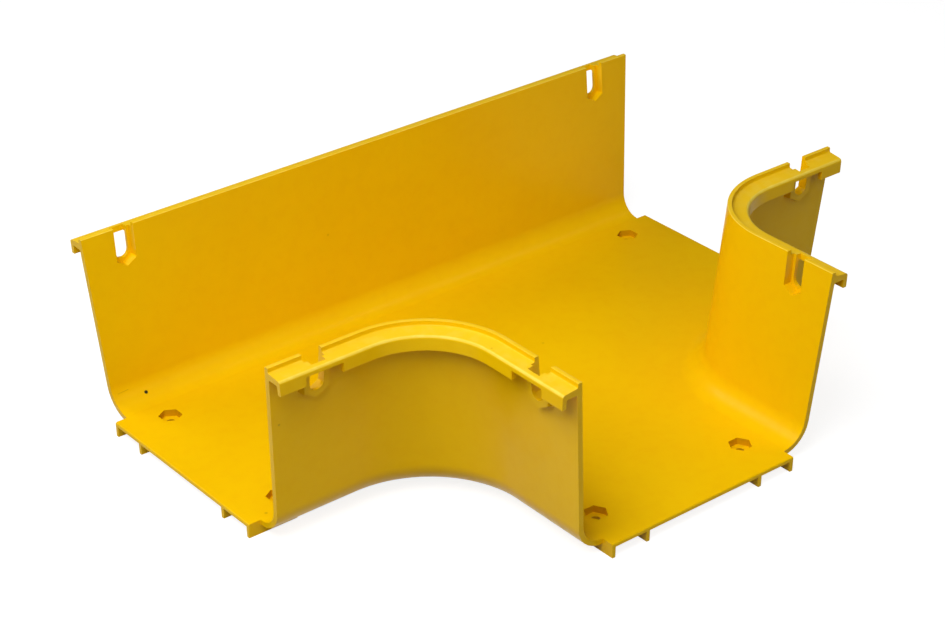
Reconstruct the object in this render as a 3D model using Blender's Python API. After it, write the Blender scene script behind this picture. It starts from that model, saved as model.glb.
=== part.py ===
"""Horizontal tee of a yellow fibre raceway, moulded in one piece.

The run goes along X, the branch leaves it towards -Y, and the walls stand up in +Z.
Shapes are laid out about the crossing of the two centre lines on the floor's top face.
The finished fitting is then placed so that it stands on its underside ribs, with the
middle of its footprint over the origin.
"""
import math

import bmesh
import bpy
from mathutils import Vector

MM = 0.001

# Channel
channel_width = 150 * MM      # between the two lines where the walls' inner faces meet the floor
wall_height = 100 * MM        # floor to the top of the ridge
arm_reach = 183 * MM          # crossing to the wall ends, the same for all three arms
corner_radius = 56 * MM       # plan radius of the two curved corner walls, at floor level
corner_flare = 3.2 * MM       # added to that radius by the rim, for the draw of the corner cores
wall_thickness = 3 * MM
floor_fillet = 13.5 * MM      # inside the corner of floor and wall
wall_lean_angle = 4.7         # degrees outwards, for the draw of the mould
end_lean_angle = 3.5          # degrees, slope of each wall's end face

# Rim along the top of every wall
ridge_thickness = 2.4 * MM
ridge_height = 2.6 * MM       # above the flange
flange_reach = 11.6 * MM      # ridge's inner edge to the lip's outer face
flange_depth = 6.6 * MM       # ridge top to the flange's underside
flange_fall = 0.8 * MM        # slope of the flange's top towards its outer edge
flange_edge_radius = 1.8 * MM
lip_depth = 5.2 * MM          # below the flange's underside
lip_thickness = 2.5 * MM
edge_radius = 0.4 * MM        # outer edges of ridge and lip
root_radius = 0.8 * MM        # inner corners of the rim
lip_gap = 22 * MM             # break in the lip at each bolt
lip_gap_setback = 20.4 * MM   # its middle, from the wall end at floor level

# Bolt pockets in the walls and in the floor, for hexagon heads
hex_width = 11.2 * MM         # across flats, in the floor
pocket_width = 11.8 * MM      # across flats, in the walls
bolt_setback = 19.4 * MM      # from the wall end, at floor level
pocket_depth = 5 * MM         # from the wall's inner face
pocket_drop = 22.5 * MM       # ridge top to the point of the pocket
boss_thickness = 2 * MM       # behind a pocket
boss_wall = 2.4 * MM          # round a pocket, at the wall
boss_face_wall = 1.4 * MM     # the same at the boss's outer face
slot_width = 8.4 * MM
slot_depth = 8.4 * MM         # from the wall's inner face, through the boss and into the flange
floor_bolt_offset = 50 * MM   # from the arm's centre line
recess_depth = 4 * MM
floor_hole = 5 * MM           # diameter

# Tongues of the floor at the open ends, and the ribs below them
tongue_length = 7 * MM
tongue_thickness = 2.2 * MM
stand_depth = 8.3 * MM        # floor's top face down to the feet of the ribs
rib_length = 38 * MM
rib_thickness = 2.4 * MM
rib_tip_thickness = 1.9 * MM
rib_run_out = 9 * MM          # sloping inner end of a rib

# Facets
corner_steps = 24
fillet_steps = 7
edge_steps = 5
round_steps = 16

PLASTIC_COLOUR = (0.93, 0.55, 0.012, 1.0)

lean = math.tan(math.radians(wall_lean_angle))
end_lean = math.tan(math.radians(end_lean_angle))
half_width = channel_width / 2
slant = math.hypot(1, lean)                      # face length of a wall for each unit of height
fillet_foot = floor_fillet * (slant - lean)      # fillet's tangent line on the floor, in from the wall
tongue_half = half_width - fillet_foot
underside = wall_height - flange_depth
lip_foot = underside - lip_depth
rim_outside = lean * wall_height + flange_reach
boss_depth = pocket_depth + boss_thickness
pocket_radius = pocket_width / math.sqrt(3)
cut_margin = 2 * MM


def clear_scene():
    for item in list(bpy.data.objects):
        bpy.data.objects.remove(item, do_unlink=True)


def arc(centre, radius, start, stop, steps):
    """Points of a plane arc, with both ends, from start to stop in degrees."""
    points = []
    for step in range(steps + 1):
        angle = math.radians(start + (stop - start) * step / steps)
        points.append((centre[0] + radius * math.cos(angle), centre[1] + radius * math.sin(angle)))
    return points


def rounded(before, corner, after, radius):
    """Three points that ease the corner between two straight stretches of a profile."""
    corner = Vector(corner)
    start = corner + (Vector(before) - corner).normalized() * radius
    stop = corner + (Vector(after) - corner).normalized() * radius
    middle = corner / 2 + (start + stop) / 4
    return [tuple(start), tuple(middle), tuple(stop)]


def wall_profile():
    """Section of a wall: (outwards, up), from the floor's top over the rim to its underside."""
    wall_angle = -math.degrees(math.atan(lean))
    bend_centre = (-fillet_foot, floor_fillet)
    ridge_inside = lean * wall_height
    ridge_outside = ridge_inside + ridge_thickness
    flange_top = wall_height - ridge_height
    edge_centre = (rim_outside - flange_edge_radius, flange_top - flange_fall - flange_edge_radius)
    inner_bend = arc(bend_centre, floor_fillet, -90, wall_angle, fillet_steps)
    flange_edge = arc(edge_centre, flange_edge_radius, 90, 0, edge_steps)
    outer_bend = arc(bend_centre, floor_fillet + wall_thickness, wall_angle, -90, fillet_steps)
    corners = [
        (ridge_inside, wall_height, edge_radius), (ridge_outside, wall_height, edge_radius),
        (ridge_outside, flange_top, root_radius)]
    hook = [
        (rim_outside, lip_foot, edge_radius), (rim_outside - lip_thickness, lip_foot, edge_radius),
        (rim_outside - lip_thickness, underside, root_radius),
        (lean * underside + wall_thickness * slant, underside, root_radius)]
    profile = inner_bend + ease(inner_bend[-1], corners, flange_edge[0])
    profile += flange_edge + ease(flange_edge[-1], hook, outer_bend[0])
    return profile + outer_bend


def ease(before, corners, after):
    """Run of eased corners, each (outwards, up, radius), between two fixed points."""
    stops = [before] + [corner[:2] for corner in corners] + [after]
    run = []
    for index, (out, up, radius) in enumerate(corners):
        run += rounded(stops[index], (out, up), stops[index + 2], radius)
    return run


def straight_stations():
    """Long wall: for each section a plan point, its way outwards, and its drift for each unit up."""
    return [(Vector((side * arm_reach, half_width, 0)), Vector((0, 1, 0)), Vector((side * end_lean, 0, 0)))
            for side in (-1, 1)]


def corner_stations(side):
    """Corner wall on one side: along the run, round the corner and along the branch."""
    centre_offset = half_width + corner_radius
    centre = Vector((side * centre_offset, -centre_offset, 0))
    flare = corner_flare / wall_height
    stations = [(Vector((side * arm_reach, -half_width, 0)), Vector((0, -1, 0)),
                 Vector((side * end_lean, 0, 0)))]
    for step in range(corner_steps + 1):
        angle = math.radians(90 * step / corner_steps)
        towards_channel = Vector((-side * math.sin(angle), math.cos(angle), 0))
        drift = flare * (Vector((side, -1, 0)) + towards_channel)
        stations.append((centre + corner_radius * towards_channel, -towards_channel, drift))
    stations.append((Vector((side * half_width, -arm_reach, 0)), Vector((side, 0, 0)),
                     Vector((0, -end_lean, 0))))
    return stations


def sweep_wall(mesh, stations, profile):
    """Skin one wall along its stations, with end faces. Returns its sections."""
    sections = []
    for point, outwards, drift in stations:
        rise = drift + Vector((0, 0, 1))
        sections.append([mesh.verts.new(point + outwards * out + rise * up) for out, up in profile])
    for near, far in zip(sections, sections[1:]):
        for k in range(len(profile) - 1):
            mesh.faces.new((near[k], near[k + 1], far[k + 1], far[k]))
    mesh.faces.new(sections[0])
    mesh.faces.new(sections[-1])
    return sections


def tongue_edge(mesh, inner_pair, outer_points):
    """End of the floor between two wall feet: top and bottom vertices of its outer corners."""
    thickness = Vector((0, 0, wall_thickness))
    top = [mesh.verts.new(point) for point in outer_points]
    bottom = [mesh.verts.new(point - thickness) for point in outer_points]
    (top_a, bottom_a), (top_b, bottom_b) = inner_pair
    ring_top = [top_a] + top + [top_b]
    ring_bottom = [bottom_a] + bottom + [bottom_b]
    for k in range(len(ring_top) - 1):
        mesh.faces.new((ring_top[k], ring_top[k + 1], ring_bottom[k + 1], ring_bottom[k]))
    return top, bottom


def trough_body():
    """Floor and walls as one closed shell, before anything is added or cut."""
    mesh = bmesh.new()
    profile = wall_profile()
    long_wall = sweep_wall(mesh, straight_stations(), profile)
    left_wall = sweep_wall(mesh, corner_stations(-1), profile)
    right_wall = sweep_wall(mesh, corner_stations(1), profile)
    end = arm_reach + tongue_length
    foot = tongue_half

    def feet(section):
        return section[0], section[-1]

    right_top, right_bottom = tongue_edge(
        mesh, (feet(long_wall[-1]), feet(right_wall[0])),
        [Vector((end, foot, 0)), Vector((end, -foot, 0))])
    branch_top, branch_bottom = tongue_edge(
        mesh, (feet(right_wall[-1]), feet(left_wall[-1])),
        [Vector((foot, -end, 0)), Vector((-foot, -end, 0))])
    left_top, left_bottom = tongue_edge(
        mesh, (feet(left_wall[0]), feet(long_wall[0])),
        [Vector((-end, -foot, 0)), Vector((-end, foot, 0))])

    def floor_ring(place, right, branch, left):
        ring = [section[place] for section in long_wall] + right
        ring += [section[place] for section in right_wall] + branch
        ring += [section[place] for section in reversed(left_wall)] + left
        return ring

    mesh.faces.new(floor_ring(0, right_top, branch_top, left_top))
    mesh.faces.new(floor_ring(-1, right_bottom, branch_bottom, left_bottom))
    bmesh.ops.recalc_face_normals(mesh, faces=mesh.faces[:])
    return make_object("tee_fitting", mesh)


def make_object(name, mesh):
    data = bpy.data.meshes.new(name)
    mesh.to_mesh(data)
    mesh.free()
    item = bpy.data.objects.new(name, data)
    bpy.context.scene.collection.objects.link(item)
    return item


def loft(name, near_ring, far_ring):
    """Closed solid between two rings of points."""
    mesh = bmesh.new()
    near = [mesh.verts.new(point) for point in near_ring]
    far = [mesh.verts.new(point) for point in far_ring]
    count = len(near)
    for k in range(count):
        after = (k + 1) % count
        mesh.faces.new((near[k], near[after], far[after], far[k]))
    mesh.faces.new(near)
    mesh.faces.new(far)
    bmesh.ops.recalc_face_normals(mesh, faces=mesh.faces[:])
    return make_object(name, mesh)


class WallEnd:
    """Place at the open end of a wall: corner point, way back along the wall, way outwards."""

    def __init__(self, corner, inwards, outwards):
        self.corner = Vector(corner)
        self.inwards = Vector(inwards)
        self.outwards = Vector(outwards)

    def point(self, along, out, up):
        return self.corner + self.inwards * along + self.outwards * out + Vector((0, 0, up))

    def leaning_loft(self, name, outline, near, far, far_outline=None):
        """Outline of (along, up) points, carried from depth near to far behind the inner face."""
        rings = [[self.point(along, lean * up + depth, up) for along, up in shape]
                 for shape, depth in ((outline, near), (far_outline or outline, far))]
        return loft(name, *rings)


def wall_ends():
    ends = []
    for side in (-1, 1):
        run_end = side * arm_reach
        ends.append(WallEnd((run_end, half_width, 0), (-side, 0, 0), (0, 1, 0)))
        ends.append(WallEnd((run_end, -half_width, 0), (-side, 0, 0), (0, -1, 0)))
        ends.append(WallEnd((side * half_width, -arm_reach, 0), (0, 1, 0), (side, 0, 0)))
    return ends


def open_ends():
    """Middle of each open end at floor level, with its way in and its way across."""
    return [
        WallEnd((-arm_reach, 0, 0), (1, 0, 0), (0, 1, 0)),
        WallEnd((arm_reach, 0, 0), (-1, 0, 0), (0, 1, 0)),
        WallEnd((0, -arm_reach, 0), (0, 1, 0), (1, 0, 0)),
    ]


def pocket_outline(half, top):
    """Half a hexagon, point down, open upwards: (along, up) points about the bolt."""
    slope = math.tan(math.radians(30))
    grown = half - pocket_width / 2
    point = wall_height - pocket_drop - grown * 2 * slope
    shoulder = point + half * slope
    return [(bolt_setback, point), (bolt_setback + half, shoulder), (bolt_setback + half, top),
            (bolt_setback - half, top), (bolt_setback - half, shoulder)]


def wall_boss(end):
    top = underside + flange_depth / 4
    root = pocket_outline(pocket_width / 2 + boss_wall, top)
    face = pocket_outline(pocket_width / 2 + boss_face_wall, top)
    return end.leaning_loft("wall_boss", root, wall_thickness / 2, boss_depth, face)


def wall_pocket(end):
    outline = pocket_outline(pocket_width / 2, wall_height + cut_margin)
    return end.leaning_loft("wall_pocket", outline, -cut_margin, pocket_depth)


def wall_slot(end):
    """Slot with a round foot about the middle of the hexagon, open upwards through the flange."""
    radius = slot_width / 2
    top = wall_height + cut_margin
    bolt = (bolt_setback, wall_height - pocket_drop + pocket_radius)
    outline = arc(bolt, radius, 180, 360, round_steps // 2)
    outline += [(bolt_setback + radius, top), (bolt_setback - radius, top)]
    return end.leaning_loft("wall_slot", outline, pocket_depth - cut_margin, slot_depth)


def lip_break(end):
    start = lip_gap_setback - lip_gap / 2
    stop = lip_gap_setback + lip_gap / 2
    inside = rim_outside - lip_thickness - cut_margin / 4
    outside = rim_outside + cut_margin
    rings = [[end.point(start, inside, up), end.point(stop, inside, up),
              end.point(stop, outside, up), end.point(start, outside, up)]
             for up in (lip_foot - cut_margin, underside)]
    return loft("lip_break", *rings)


def floor_hexagon(end, across, width, low, high, name):
    """Upright hexagonal prism about a floor bolt, with points across the arm."""
    corners = arc((bolt_setback, across), width / math.sqrt(3), 90, 390, 5)
    return loft(name, *[[end.point(along, side, up) for along, side in corners] for up in (low, high)])


def floor_bore(end, across):
    circle = arc((bolt_setback, across), floor_hole / 2, 0, 360 - 360 / round_steps, round_steps - 1)
    return loft("floor_bore", *[[end.point(along, side, up) for along, side in circle]
                                for up in (-stand_depth, 0)])


def underside_rib(end, across):
    """Rib along the arm, flush with the tongue's end, tapering to its foot and at its inner end."""
    root = -tongue_thickness / 2
    back = rib_length - tongue_length
    outline = [(-tongue_length, root), (back, root), (back - rib_run_out, -stand_depth),
               (-tongue_length, -stand_depth)]
    rings = []
    for sign in (-1, 1):
        ring = []
        for along, up in outline:
            thickness = rib_thickness if up == root else rib_tip_thickness
            ring.append(end.point(along, across + sign * thickness / 2, up))
        rings.append(ring)
    return loft("underside_rib", *rings)


def tongue_relief(end):
    """Step that thins the tongue from below, beyond the wall ends."""
    outside = tongue_length + cut_margin
    half = tongue_half + cut_margin
    rings = [[end.point(along, side, up) for along, side in
              ((-outside, -half), (0, -half), (0, half), (-outside, half))]
             for up in (-wall_thickness - cut_margin, -tongue_thickness)]
    return loft("tongue_relief", *rings)


def combine(body, tools, operation):
    """Add or take away tools in one step, and keep the result as the body's own mesh."""
    group = bpy.data.collections.new("tools")
    for tool in tools:
        group.objects.link(tool)
    step = body.modifiers.new("combine", "BOOLEAN")
    step.operation = operation
    step.solver = "EXACT"
    step.operand_type = "COLLECTION"
    step.collection = group
    bpy.context.view_layer.update()
    result = bpy.data.meshes.new_from_object(body.evaluated_get(bpy.context.evaluated_depsgraph_get()))
    body.modifiers.clear()
    body.data = result
    for tool in tools:
        bpy.data.objects.remove(tool, do_unlink=True)
    bpy.data.collections.remove(group)


def add_bolt_places(body):
    bolt_sides = (-floor_bolt_offset, floor_bolt_offset)
    rib_spread = tongue_half - rib_thickness / 2 - floor_bolt_offset
    boss_width = hex_width + 2 * boss_wall
    boss_foot = -recess_depth - boss_thickness
    boss_root = -wall_thickness / 2
    combine(body, [tongue_relief(end) for end in open_ends()], "DIFFERENCE")
    solids = [wall_boss(end) for end in wall_ends()]
    for end in open_ends():
        for across in bolt_sides:
            solids.append(floor_hexagon(end, across, boss_width, boss_foot, boss_root, "floor_boss"))
            solids.append(underside_rib(end, across - rib_spread))
            solids.append(underside_rib(end, across + rib_spread))
    combine(body, solids, "UNION")
    cuts = []
    for end in wall_ends():
        cuts += [wall_pocket(end), lip_break(end)]
    for end in open_ends():
        for across in bolt_sides:
            cuts.append(floor_hexagon(end, across, hex_width, -recess_depth, cut_margin, "floor_recess"))
    combine(body, cuts, "DIFFERENCE")
    bores = [wall_slot(end) for end in wall_ends()]
    bores += [floor_bore(end, across) for end in open_ends() for across in bolt_sides]
    combine(body, bores, "DIFFERENCE")


def plastic():
    material = bpy.data.materials.new("yellow_plastic")
    material.use_nodes = True
    shader = material.node_tree.nodes["Principled BSDF"]
    shader.inputs["Base Color"].default_value = PLASTIC_COLOUR
    shader.inputs["Roughness"].default_value = 0.42
    shader.inputs["Metallic"].default_value = 0.0
    return material


def finish(body):
    body.data.materials.clear()
    body.data.materials.append(plastic())
    body.data.shade_smooth()
    body.data.set_sharp_from_angle(angle=math.radians(28))
    back = half_width + rim_outside
    front = arm_reach + tongue_length
    body.location = (0, (front - back) / 2, stand_depth)


clear_scene()
fitting = trough_body()
add_bolt_places(fitting)
finish(fitting)
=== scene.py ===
import math

import bpy
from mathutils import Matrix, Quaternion, Vector


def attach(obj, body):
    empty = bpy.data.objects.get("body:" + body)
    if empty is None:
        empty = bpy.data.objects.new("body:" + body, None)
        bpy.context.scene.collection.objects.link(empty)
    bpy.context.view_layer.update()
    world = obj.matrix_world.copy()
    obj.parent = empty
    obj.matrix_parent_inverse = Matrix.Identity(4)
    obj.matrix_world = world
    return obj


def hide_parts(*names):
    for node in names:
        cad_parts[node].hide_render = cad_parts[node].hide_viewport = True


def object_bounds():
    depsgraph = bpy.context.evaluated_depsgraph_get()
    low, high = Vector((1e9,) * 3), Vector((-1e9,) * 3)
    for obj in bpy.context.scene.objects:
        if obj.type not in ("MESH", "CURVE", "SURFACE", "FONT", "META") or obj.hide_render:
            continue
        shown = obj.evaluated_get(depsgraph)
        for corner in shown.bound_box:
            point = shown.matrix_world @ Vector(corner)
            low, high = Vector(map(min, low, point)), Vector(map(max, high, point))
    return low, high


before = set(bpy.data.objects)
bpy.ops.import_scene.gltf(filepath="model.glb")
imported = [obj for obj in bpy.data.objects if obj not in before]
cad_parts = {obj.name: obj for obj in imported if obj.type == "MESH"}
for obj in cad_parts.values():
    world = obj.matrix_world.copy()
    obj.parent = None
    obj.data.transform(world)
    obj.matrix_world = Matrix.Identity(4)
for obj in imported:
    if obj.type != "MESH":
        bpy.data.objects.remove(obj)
cad_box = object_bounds()


# The fitting is one injection moulding: floor, walls, hooked rim, bolt bosses and stand ribs
# come out of the mould together. Its faces run into each other over small radii, and only the
# parting edges at wall ends, pockets, slots and tongues are crisp, with the arris just broken.
WELD_DISTANCE = 0.00005
FLAT_ANGLE = math.radians(0.3)
ARRIS_WIDTH = 0.0003
ARRIS_ANGLE = math.radians(50)
ARRIS_STEPS = 2
CRISP_ANGLE = math.radians(41)


def select_nothing():
    for item in bpy.context.selected_objects:
        item.select_set(False)


select_nothing()
moulding = bpy.data.objects.new("tee_moulding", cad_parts["tee_fitting"].data.copy())
bpy.context.scene.collection.objects.link(moulding)
moulding.select_set(True)
bpy.context.view_layer.objects.active = moulding
bpy.ops.object.mode_set(mode="EDIT")
bpy.ops.mesh.select_all(action="SELECT")
bpy.ops.mesh.remove_doubles(threshold=WELD_DISTANCE)
bpy.ops.mesh.dissolve_limited(angle_limit=FLAT_ANGLE, use_dissolve_boundaries=False)
bpy.ops.mesh.select_mode(type="EDGE")
bpy.ops.mesh.select_all(action="DESELECT")
bpy.ops.object.mode_set(mode="OBJECT")

# Each tongue has a rounded lead-in along its end, so that it slides into the coupler.
FLOOR_LEVEL = 0.0083
LEAD_IN = 0.0008
LEAD_IN_STEPS = 3
NEAR = 0.0001
lowest, highest = cad_box


def on_tongue_end(place):
    at_end = abs(abs(place.x) - highest[0]) < NEAR or abs(place.y - lowest[1]) < NEAR
    return at_end and abs(place.z - FLOOR_LEVEL) < NEAR


corners = moulding.data.vertices
for edge in moulding.data.edges:
    edge.select = all(on_tongue_end(corners[number].co) for number in edge.vertices)
bpy.ops.object.mode_set(mode="EDIT")
bpy.ops.mesh.bevel(offset=LEAD_IN, segments=LEAD_IN_STEPS, affect="EDGES", clamp_overlap=True)
bpy.ops.object.mode_set(mode="OBJECT")

arris = moulding.modifiers.new("arris", "BEVEL")
arris.width = ARRIS_WIDTH
arris.segments = ARRIS_STEPS
arris.limit_method = "ANGLE"
arris.angle_limit = ARRIS_ANGLE
arris.use_clamp_overlap = True
bpy.ops.object.modifier_apply(modifier=arris.name)
bpy.ops.object.shade_smooth_by_angle(angle=CRISP_ANGLE, keep_sharp_edges=False)

# Large faces keep their own direction, so that the flats stay flat beside the radii.
even = moulding.modifiers.new("even_faces", "WEIGHTED_NORMAL")
even.keep_sharp = True
bpy.ops.object.modifier_apply(modifier=even.name)


# The plastic is a semi-matte yellow, coloured in the mass. The mould gave it a fine spark-eroded
# grain and a slight waviness. Colour flows unevenly through a part this wide, so it is clouded.
class Wire:
    """A socket of a material under construction. Arithmetic on it adds Math nodes."""

    def __init__(self, finish, socket):
        self.finish = finish
        self.socket = socket

    def __add__(self, other):
        return self.finish.maths("ADD", self, other)

    def __sub__(self, other):
        return self.finish.maths("SUBTRACT", self, other)

    def __rsub__(self, other):
        return self.finish.maths("SUBTRACT", other, self)

    def __mul__(self, other):
        return self.finish.maths("MULTIPLY", self, other)

    __radd__ = __add__
    __rmul__ = __mul__


class Finish:
    """A Principled material, to which nodes are added one by one."""

    # Sockets of a Mix node that is set to colours. Their names aren't unique, so they go by number.
    MIX_FACTOR = 0
    MIX_FIRST = 6
    MIX_SECOND = 7
    MIX_RESULT = 2

    def __init__(self, name):
        self.material = bpy.data.materials.new(name)
        self.material.use_nodes = True
        self.tree = self.material.node_tree
        self.shader = self.tree.nodes["Principled BSDF"]

    def add(self, kind, settings, sockets, output=0):
        """Add a node: its settings first, then values or wires for its sockets."""
        node = self.tree.nodes.new(kind)
        for name, value in settings.items():
            setattr(node, name, value)
        for name, value in sockets.items():
            self.feed(node.inputs[name], value)
        return Wire(self, node.outputs[output])

    def feed(self, socket, value):
        if isinstance(value, Wire):
            self.tree.links.new(value.socket, socket)
        else:
            socket.default_value = value

    def set(self, values):
        for name, value in values.items():
            self.feed(self.shader.inputs[name], value)

    def maths(self, operation, first, second):
        return self.add("ShaderNodeMath", {"operation": operation}, {0: first, 1: second})

    def blend(self, factor, first, second):
        """First colour where the factor is 0, second colour where it is 1."""
        return self.add("ShaderNodeMix", {"data_type": "RGBA"}, {
            self.MIX_FACTOR: factor, self.MIX_FIRST: first, self.MIX_SECOND: second}, self.MIX_RESULT)

    def vector(self, operation, first, second, output="Vector"):
        return self.add("ShaderNodeVectorMath", {"operation": operation}, {0: first, 1: second}, output)

    def distance(self, first, second):
        return self.vector("DISTANCE", first, second, "Value")

    def part(self, vector, axis):
        """The X, Y or Z of a vector."""
        return self.add("ShaderNodeSeparateXYZ", {}, {"Vector": vector}, axis)

    def noise(self, here, scale, detail, roughness=0.55):
        return self.add("ShaderNodeTexNoise", {}, {
            "Vector": here, "Scale": scale, "Detail": detail, "Roughness": roughness})

    def step(self, value, low, high):
        """Rise from 0 to 1 while the value goes from low to high, or fall where high is below low."""
        start, stop = (0.0, 1.0) if high > low else (1.0, 0.0)
        return self.add("ShaderNodeMapRange", {"interpolation_type": "SMOOTHSTEP"}, {
            "Value": value, "From Min": min(low, high), "From Max": max(low, high),
            "To Min": start, "To Max": stop})


plastic = Finish("yellow_plastic")
here = plastic.add("ShaderNodeTexCoord", {}, {}, "Object")
height = plastic.part(here, "Z")
facing_up = plastic.part(plastic.add("ShaderNodeTexCoord", {}, {}, "Normal"), "Z")

YELLOW = (0.94, 0.575, 0.0010, 1.0)
RICH_YELLOW = (0.90, 0.500, 0.0006, 1.0)
CLOUD_SCALE = 11.0
CLOUD_DETAIL = 4.0
CLOUD_LIMITS = (0.38, 0.66)
CLOUD_SHARE = 0.34
MOTTLE_SCALE = 150.0
MOTTLE_DETAIL = 3.0
MOTTLE_BREAK_UP = 0.6
MOTTLE_LIMITS = (0.42, 0.68)
MOTTLE_SHARE = 0.22
cloud = plastic.step(plastic.noise(here, CLOUD_SCALE, CLOUD_DETAIL), *CLOUD_LIMITS)
mottle = plastic.step(plastic.noise(here, MOTTLE_SCALE, MOTTLE_DETAIL, MOTTLE_BREAK_UP), *MOTTLE_LIMITS)
colour = plastic.blend(CLOUD_SHARE * cloud + MOTTLE_SHARE * mottle, YELLOW, RICH_YELLOW)

# The rim tops are paled a little where they face up, for wear from handling with painted sheen, and the
# roundings of ridge and flange get a painted highlight in pale yellow. Level is height above the stand.
# Facing is how far a surface faces up, from 0 to 1.
PALE_YELLOW = (0.98, 0.72, 0.090, 1.0)
RIM_LEVEL = 0.1010
FLANGE_EDGE_LEVEL = 0.1050
RIDGE_EDGE_LEVEL = 0.1078
LEVEL_BLUR = 0.0002
TOP_FACING = (0.5, 0.9)
ROUNDING_LOWER_FACING = (0.25, 0.50)
ROUNDING_UPPER_FACING = (0.985, 0.90)
TOP_WEAR_SHEEN_SHARE = 0.15
TOP_WEAR_SHEEN_MOTTLE = 0.20
EDGE_HIGHLIGHT_SHARE = 0.60
EDGE_HIGHLIGHT_MOTTLE = 0.35
above_rim = plastic.step(height, RIM_LEVEL - LEVEL_BLUR, RIM_LEVEL + LEVEL_BLUR)
above_flange = plastic.step(height, FLANGE_EDGE_LEVEL, FLANGE_EDGE_LEVEL + LEVEL_BLUR)
above_ridge = plastic.step(height, RIDGE_EDGE_LEVEL - LEVEL_BLUR, RIDGE_EDGE_LEVEL)
# Upward faces of the rim are paled: partly handling wear, partly painted sheen.
top_wear_and_sheen = above_rim * plastic.step(facing_up, *TOP_FACING) * (TOP_WEAR_SHEEN_SHARE + TOP_WEAR_SHEEN_MOTTLE * mottle)
rounding = plastic.step(facing_up, *ROUNDING_LOWER_FACING) * plastic.step(facing_up, *ROUNDING_UPPER_FACING)
# Painted highlight: the roundings of ridge and flange are paled towards pale yellow.
painted_edge_highlight = (above_rim - above_flange + above_ridge) * rounding * (EDGE_HIGHLIGHT_SHARE + EDGE_HIGHLIGHT_MOTTLE * mottle)
colour = plastic.blend(top_wear_and_sheen + painted_edge_highlight, colour, PALE_YELLOW)

# Painted shade darkens the steep sides of the bolt recesses in the floor. The right half's
# recesses mirror the left half's.
RECESS_SHADE_COLOUR = (0.50, 0.20, 0.001, 1.0)
FLOOR_RECESSES = [(0.1636, 0.0976, 0.0063), (0.1636, -0.0024, 0.0063), (0.0500, -0.1160, 0.0063)]
RECESS_REACH = 0.0076
RECESS_BLUR = 0.0004
STEEP_FACING = (0.6, 0.3)
RECESS_SHADE_STRENGTH = 0.55
side_to_side = plastic.add("ShaderNodeMath", {"operation": "ABSOLUTE"}, {0: plastic.part(here, "X")})
folded = plastic.add("ShaderNodeCombineXYZ", {}, {
    "X": side_to_side, "Y": plastic.part(here, "Y"), "Z": height})
steep = plastic.step(facing_up, *STEEP_FACING)
for place in FLOOR_RECESSES:
    nearby = plastic.distance(folded, place)
    # Painted shade on the steep sides within reach of each recess centre.
    painted_recess_shade = plastic.step(nearby, RECESS_REACH, RECESS_REACH - RECESS_BLUR) * steep
    colour = plastic.blend(painted_recess_shade * RECESS_SHADE_STRENGTH, colour, RECESS_SHADE_COLOUR)

# A black speck lies in the bend of the long wall, beside a short dark scratch.
SPECK_PLACE = (-0.1643, 0.1200, 0.0126)
SPECK_RADIUS = 0.0010
SPECK_BLUR = 0.0002
SPECK_COLOUR = (0.012, 0.010, 0.008, 1.0)
SCRATCH_START = (-0.1801, 0.1225, 0.0162)
SCRATCH_STOP = (-0.1737, 0.1226, 0.0166)
SCRATCH_WIDTH = 0.0001
SCRATCH_BLUR = 0.0003
SCRATCH_STRENGTH = 0.7
SCRATCH_COLOUR = (0.30, 0.13, 0.004, 1.0)


def spot(place, radius, soft):
    """Round mark about a place: 1 inside the radius, 0 outside, with a soft edge."""
    reach = plastic.distance(here, place)
    return plastic.step(reach, radius + soft, radius - soft)


def stroke(start, stop, width, soft):
    """Straight mark from one place to another: 1 within the width of it, 0 outside."""
    line = Vector(stop) - Vector(start)
    from_start = plastic.vector("SUBTRACT", here, start)
    along = plastic.vector("DOT_PRODUCT", from_start, tuple(line / line.length_squared), "Value")
    held = plastic.add("ShaderNodeClamp", {}, {"Value": along})
    nearest = plastic.add("ShaderNodeVectorMath", {"operation": "SCALE"}, {0: tuple(line), "Scale": held})
    reach = plastic.distance(from_start, nearest)
    return plastic.step(reach, width + soft, width - soft)


speck = spot(SPECK_PLACE, SPECK_RADIUS, SPECK_BLUR)
scratch = stroke(SCRATCH_START, SCRATCH_STOP, SCRATCH_WIDTH, SCRATCH_BLUR)
colour = plastic.blend(scratch * SCRATCH_STRENGTH, colour, SCRATCH_COLOUR)

# Fainter dots lie about the floor, the walls and the flange. Each has a place, a radius and a
# strength.
MARK_BLUR = 0.0005
FAINT_MARKS = [
    ((-0.1774, -0.0117, 0.0083), 0.0008, 0.35),
    ((0.0392, 0.0299, 0.0083), 0.0007, 0.25),
    ((-0.1827, -0.0358, 0.0736), 0.0006, 0.45),
    ((-0.0922, -0.0860, 0.1053), 0.0005, 0.45),
    ((-0.0362, 0.1270, 0.0625), 0.0006, 0.25),
]
for place, radius, strength in FAINT_MARKS:
    colour = plastic.blend(spot(place, radius, MARK_BLUR) * strength, colour, SCRATCH_COLOUR)
colour = plastic.blend(speck, colour, SPECK_COLOUR)

# The grain is a few hundredths of a millimetre high, and the waviness is far longer than high.
GRAIN_SCALE = 2300.0
GRAIN_DETAIL = 2.0
GRAIN_HEIGHT = 0.00004
WAVE_SCALE = 24.0
WAVE_DETAIL = 1.0
WAVE_HEIGHT = 0.0006
grain = plastic.noise(here, GRAIN_SCALE, GRAIN_DETAIL)
wave = plastic.noise(here, WAVE_SCALE, WAVE_DETAIL)
bumps = plastic.add("ShaderNodeBump", {}, {
    "Strength": 1.0, "Distance": GRAIN_HEIGHT, "Height": grain})
bumps = plastic.add("ShaderNodeBump", {}, {
    "Strength": 1.0, "Distance": WAVE_HEIGHT, "Height": wave, "Normal": bumps})

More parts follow.
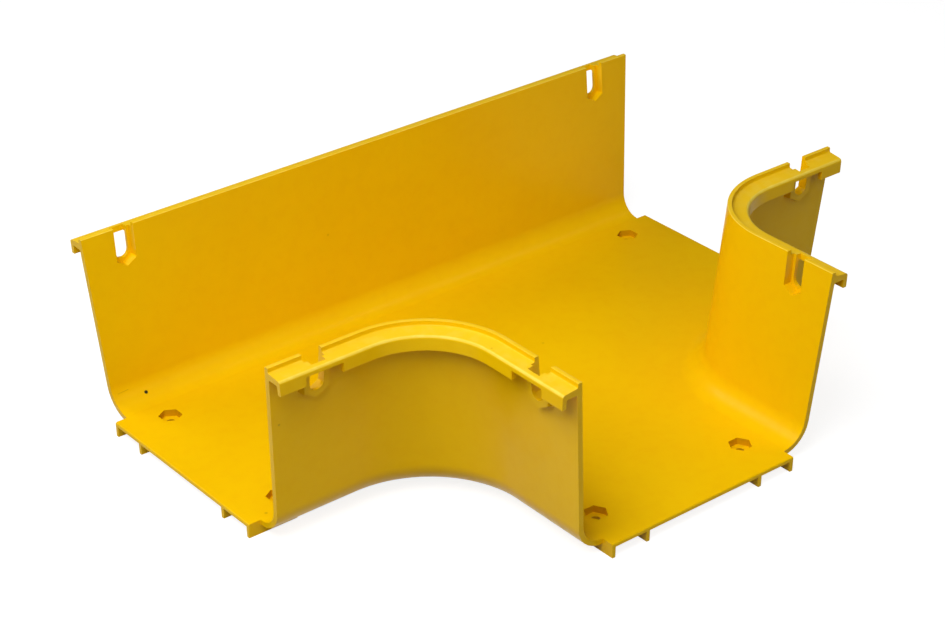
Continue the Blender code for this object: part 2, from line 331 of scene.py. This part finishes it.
BASE_ROUGHNESS = 0.32
MOTTLE_ROUGHNESS = 0.08
MOTTLE_MIDDLE = 0.5
SPECK_ROUGHNESS = 0.4
SPECULAR_LEVEL = 0.09
plastic.set({
    "Base Color": colour,
    "Roughness": BASE_ROUGHNESS + MOTTLE_ROUGHNESS * (mottle - MOTTLE_MIDDLE) + SPECK_ROUGHNESS * speck,
    "Normal": bumps,
    "Specular IOR Level": SPECULAR_LEVEL,
})
moulding.data.materials.clear()
moulding.data.materials.append(plastic.material)
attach(moulding, "root")
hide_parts("tee_fitting")


# The studio floor is a grey sheet that the camera sees as white paper. It gives little light
# back to the walls that stand over it, and keeps the fitting's soft shadow.
FLOOR_SIZE = 12.0
FLOOR_GREY = 0.35
WHITE_LIFT = 0.85
PAPER_ROUGHNESS = 0.9
BLACK = (0.0, 0.0, 0.0, 1.0)

select_nothing()
bpy.ops.mesh.primitive_plane_add(size=FLOOR_SIZE, location=(0, 0, 0))
floor = bpy.context.object
floor.name = "studio_floor"
paper = Finish("pale_paper")
seen = paper.add("ShaderNodeLightPath", {}, {}, "Is Camera Ray")
mirrored = paper.add("ShaderNodeLightPath", {}, {}, "Is Glossy Ray")
through = paper.add("ShaderNodeLightPath", {}, {}, "Is Transmission Ray")
lift = paper.maths("MAXIMUM", seen, mirrored)
lift = paper.maths("MAXIMUM", lift, through)
paper.set({
    "Base Color": (FLOOR_GREY, FLOOR_GREY, FLOOR_GREY, 1.0),
    "Roughness": PAPER_ROUGHNESS,
    "Emission Color": paper.blend(lift, BLACK, (WHITE_LIFT, WHITE_LIFT, WHITE_LIFT, 1.0)),
    "Emission Strength": 1.0,
})
floor.data.materials.append(paper.material)


# Soft boxes hang round the fitting in a dim room: the main one high at the left, a weaker one
# behind it, one in front, and a small one at the right, which draws the streaks along the bends.
# Each has a place, the point it is turned to, a size in metres and a power in watts.
def soft_box(name, place, target, size, power):
    data = bpy.data.lights.new(name, "AREA")
    data.shape = "SQUARE"
    data.size = size
    data.energy = power
    lamp = bpy.data.objects.new(name, data)
    lamp.location = place
    lamp.rotation_mode = "QUATERNION"
    lamp.rotation_quaternion = (Vector(target) - Vector(place)).to_track_quat("-Z", "Y")
    bpy.context.scene.collection.objects.link(lamp)


soft_box("left_box", (-0.57, -0.24, 0.87), (-0.05, 0.02, 0.03), 0.7, 8.9)
soft_box("back_box", (-0.60, 0.80, 0.90), (0.00, 0.02, 0.03), 0.6, 4.2)
soft_box("front_box", (0.12, -1.15, 0.80), (0.00, 0.02, 0.03), 0.7, 2.6)
soft_box("right_box", (0.65, -0.06, 1.00), (0.00, 0.05, 0.03), 0.3, 0.5)

ROOM_COLOUR = (1.0, 1.0, 1.0, 1.0)
ROOM_STRENGTH = 0.05

world = bpy.data.worlds.new("studio_room")
world.use_nodes = True
room = world.node_tree.nodes["Background"]
room.inputs["Color"].default_value = ROOM_COLOUR
room.inputs["Strength"].default_value = ROOM_STRENGTH
bpy.context.scene.world = world


# The camera stands off the left end of the run, well above the fitting, with a long lens, and is
# set up as the photograph was taken.
IMAGE_WIDTH = 945
FOCAL_PIXELS = 2456.0
SENSOR_WIDTH = 36.0
VIEW_POINT = (-0.73450, -0.87463, 0.69366)
VIEW_DIRECTION = Vector((0.54479, 0.68118, -0.48908))
VIEW_ROLL = math.radians(-0.47)

camera_data = bpy.data.cameras.new("photo_view")
camera_data.sensor_width = SENSOR_WIDTH
camera_data.sensor_fit = "HORIZONTAL"
camera_data.lens = FOCAL_PIXELS * SENSOR_WIDTH / IMAGE_WIDTH
camera = bpy.data.objects.new("photo_view", camera_data)
camera.location = VIEW_POINT
camera.rotation_mode = "QUATERNION"
camera.rotation_quaternion = (
    VIEW_DIRECTION.to_track_quat("-Z", "Y") @ Quaternion((0, 0, 1), VIEW_ROLL))
bpy.context.scene.collection.objects.link(camera)
bpy.context.scene.camera = camera
bpy.context.scene.view_settings.view_transform = "Standard"
